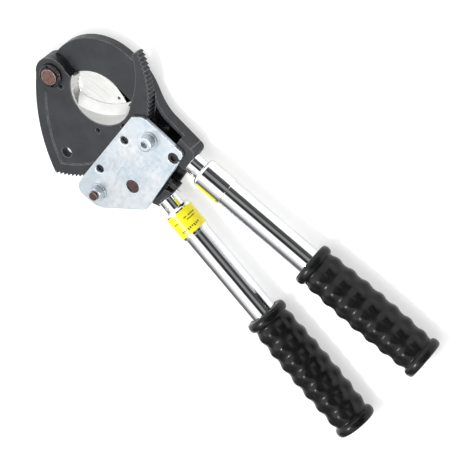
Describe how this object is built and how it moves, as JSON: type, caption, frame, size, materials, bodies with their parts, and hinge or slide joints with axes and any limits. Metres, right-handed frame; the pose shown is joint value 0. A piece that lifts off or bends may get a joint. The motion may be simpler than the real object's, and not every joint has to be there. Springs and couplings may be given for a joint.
{
  "type": "ratchet cable cutter",
  "caption": "Manual ratchet cable cutter with toothed curved jaw, side plates and two telescopic handles with rubber grips.",
  "frame": {"origin": "on the main pivot axis, at the rear end face of the pivot bolt, which is the plane the tool rests on", "axes": "+Z out of the front plate, -X along the fixed handle towards its grip, -Y towards the back of the fixed jaw"},
  "size_m": [0.4285, 0.1853, 0.041],
  "materials": {
    "black_forging": "satin black phosphate and paint",
    "ground_steel": "ground and honed",
    "zinc_plate": "bright blue-white zinc plating, satin",
    "phosphated_pin": "brown phosphate",
    "chrome_tube": "polished chrome",
    "dark_steel": "black oxide",
    "spring_steel": "drawn wire",
    "bronze": "turned, satin",
    "nylon": "natural nylon",
    "black_plastic": "moulded",
    "grip_rubber": "semi-gloss moulded rubber",
    "yellow_label": "printed vinyl"
  },
  "bodies": {
    "frame": {"frame_forging": "black_forging", "fixed_blade": "ground_steel", "front_plate": "zinc_plate", "pivot_bolt": "phosphated_pin", "pivot_nut": "dark_steel", "lever_pivot_pin": "phosphated_pin", "corner_stud": "phosphated_pin", "corner_washer": "zinc_plate", "corner_nut": "zinc_plate", "corner_spacer": "zinc_plate", "pawl_screw": "zinc_plate", "pawl_screw_washer": "zinc_plate", "plate_screw": "dark_steel", "holding_pawl_spring": "spring_steel", "fixed_inner_tube": "chrome_tube", "fixed_tube_pin": "chrome_tube", "fixed_guide_bush": "nylon"},
    "jaw": {"moving_jaw": "black_forging", "jaw_bush": "bronze", "moving_blade": "ground_steel", "blade_screws": "dark_steel"},
    "lever": {"lever": "black_forging", "lever_bush": "bronze", "moving_inner_tube": "chrome_tube", "moving_tube_pin": "chrome_tube", "moving_guide_bush": "nylon", "drive_pawl_pin": "dark_steel", "drive_pawl_spring": "spring_steel"},
    "drive_pawl": {"drive_pawl": "dark_steel"},
    "holding_pawl": {"holding_pawl": "dark_steel"},
    "fixed_outer": {"fixed_outer_tube": "chrome_tube", "fixed_collet": "bronze", "fixed_grip": "grip_rubber", "fixed_end_plug": "black_plastic"},
    "fixed_collar": {"fixed_lock_collar": "chrome_tube", "fixed_label": "yellow_label"},
    "moving_outer": {"moving_outer_tube": "chrome_tube", "moving_collet": "bronze", "moving_grip": "grip_rubber", "moving_end_plug": "black_plastic"},
    "moving_collar": {"moving_lock_collar": "chrome_tube", "moving_label": "yellow_label"}
  },
  "joints": [
    {"name": "jaw_pivot", "type": "hinge", "parent": "frame", "child": "jaw", "pos_m": [0, 0, 0.0205], "axis": [0, 0, 1], "range_deg": [-84, 0]},
    {"name": "lever_pivot", "type": "hinge", "parent": "frame", "child": "lever", "pos_m": [-0.1164, 0.0343, 0.0205], "axis": [0, 0, 1], "range_deg": [-40, 0]},
    {"name": "drive_pawl_pivot", "type": "hinge", "parent": "lever", "child": "drive_pawl", "pos_m": [-0.131, 0.027, 0.0185], "axis": [0, 0, 1], "range_deg": [-5.5, 0], "stiffness_Nm_per_rad": 0.02},
    {"name": "holding_pawl_pivot", "type": "hinge", "parent": "frame", "child": "holding_pawl", "pos_m": [-0.106, -0.02, 0.0185], "axis": [0, 0, 1], "range_deg": [-12, 0], "stiffness_Nm_per_rad": 0.02},
    {"name": "fixed_handle_slide", "type": "slide", "parent": "frame", "child": "fixed_outer", "axis": [-1, 0, 0], "range_m": [0, 0.14]},
    {"name": "fixed_collar_twist", "type": "hinge", "parent": "fixed_outer", "child": "fixed_collar", "pos_m": [-0.146, -0.0258, 0.0205], "axis": [-1, 0, 0], "range_deg": [0, 90]},
    {"name": "moving_handle_slide", "type": "slide", "parent": "lever", "child": "moving_outer", "axis": [-0.9751, 0.2215, 0], "range_m": [0, 0.14]},
    {"name": "moving_collar_twist", "type": "hinge", "parent": "moving_outer", "child": "moving_collar", "pos_m": [-0.146, 0.0249, 0.0205], "axis": [-0.9751, 0.2215, 0], "range_deg": [0, 90]}
  ]
}
